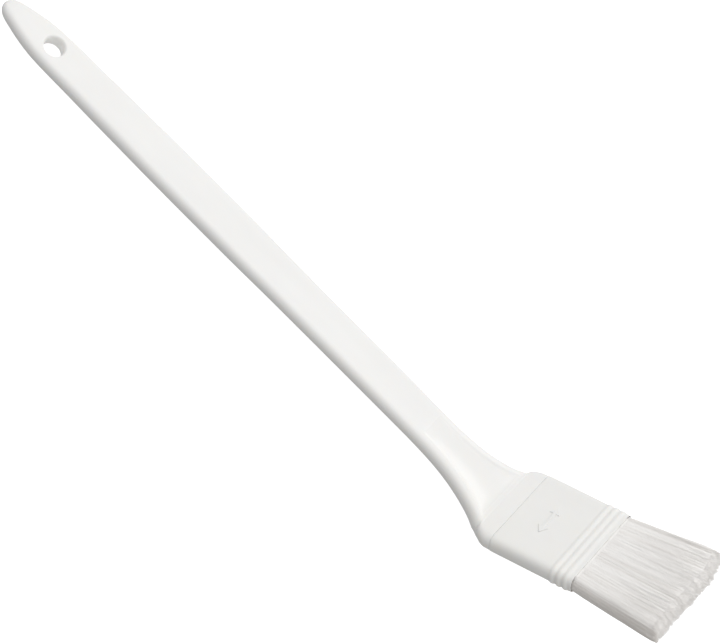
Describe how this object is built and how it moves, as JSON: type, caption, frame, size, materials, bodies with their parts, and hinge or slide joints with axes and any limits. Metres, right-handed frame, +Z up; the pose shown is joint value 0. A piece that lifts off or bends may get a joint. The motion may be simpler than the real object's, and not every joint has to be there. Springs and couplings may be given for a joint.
{
  "type": "pastry brush",
  "caption": "Angled flat pastry brush: long white plastic handle with a hanging eye, beaded flat ferrule and springy white filaments.",
  "frame": {"origin": "middle of the bounding box in X and Y, on the plane of the back of the neck, the lowest point of the brush as it lies", "axes": "+X along the handle from its hanging end to the head, +Z up out of the handle's front face, the side to which the head is angled"},
  "size_m": [0.411, 0.0614, 0.06],
  "materials": {
    "handle_plastic": "satin moulded white polypropylene",
    "ferrule_plastic": "satin moulded white plastic",
    "filament": "fine translucent white synthetic filaments",
    "resin": "cured setting resin",
    "strip": "plain white plastic strip"
  },
  "bodies": {
    "handle_assembly": {"handle": "handle_plastic", "ferrule": "ferrule_plastic", "resin_setting": "resin", "spacer_strip": "strip", "root_row_front": "filament", "root_row_rear": "filament"},
    "filaments_1": {"lock_front_1": "filament", "lock_rear_1": "filament"},
    "filaments_2": {"lock_front_2": "filament", "lock_rear_2": "filament"},
    "filaments_3": {"lock_front_3": "filament", "lock_rear_3": "filament"},
    "filaments_4": {"lock_front_4": "filament", "lock_rear_4": "filament"},
    "filaments_5": {"lock_front_5": "filament", "lock_rear_5": "filament"}
  },
  "joints": [
    {"name": "filament_flex_1", "type": "hinge", "parent": "handle_assembly", "child": "filaments_1", "pos_m": [0.16346, 0, 0.03231], "axis": [0, -1, 0], "range_deg": [-30, 30], "stiffness_Nm_per_rad": 0.03},
    {"name": "filament_flex_2", "type": "hinge", "parent": "handle_assembly", "child": "filaments_2", "pos_m": [0.16346, 0, 0.03231], "axis": [0, -1, 0], "range_deg": [-30, 30], "stiffness_Nm_per_rad": 0.03},
    {"name": "filament_flex_3", "type": "hinge", "parent": "handle_assembly", "child": "filaments_3", "pos_m": [0.16346, 0, 0.03231], "axis": [0, -1, 0], "range_deg": [-30, 30], "stiffness_Nm_per_rad": 0.03},
    {"name": "filament_flex_4", "type": "hinge", "parent": "handle_assembly", "child": "filaments_4", "pos_m": [0.16346, 0, 0.03231], "axis": [0, -1, 0], "range_deg": [-30, 30], "stiffness_Nm_per_rad": 0.03},
    {"name": "filament_flex_5", "type": "hinge", "parent": "handle_assembly", "child": "filaments_5", "pos_m": [0.16346, 0, 0.03231], "axis": [0, -1, 0], "range_deg": [-30, 30], "stiffness_Nm_per_rad": 0.03}
  ]
}
